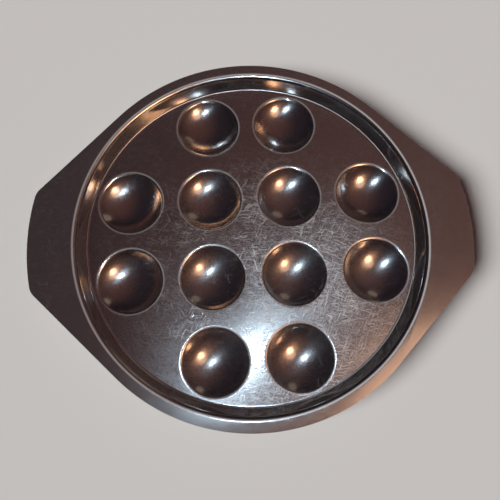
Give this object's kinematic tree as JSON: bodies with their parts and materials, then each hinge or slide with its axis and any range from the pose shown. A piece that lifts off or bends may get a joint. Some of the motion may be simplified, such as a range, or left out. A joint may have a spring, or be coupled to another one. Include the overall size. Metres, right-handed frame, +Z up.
{
  "type": "escargot plate",
  "caption": "Round stainless steel escargot plate with two flat ears, a low sloped wall and round hollows pressed into its floor.",
  "frame": {"origin": "under the middle of the plate, level with the bottoms of its hollows, where it stands", "axes": "+X towards one ear, +Y along a column of hollows, +Z up out of the pan"},
  "size_m": [0.2108, 0.1792, 0.015],
  "materials": {
    "steel": "polished, with fine scratches from use"
  },
  "bodies": {
    "root": {"plate": "steel"}
  },
  "joints": []
}
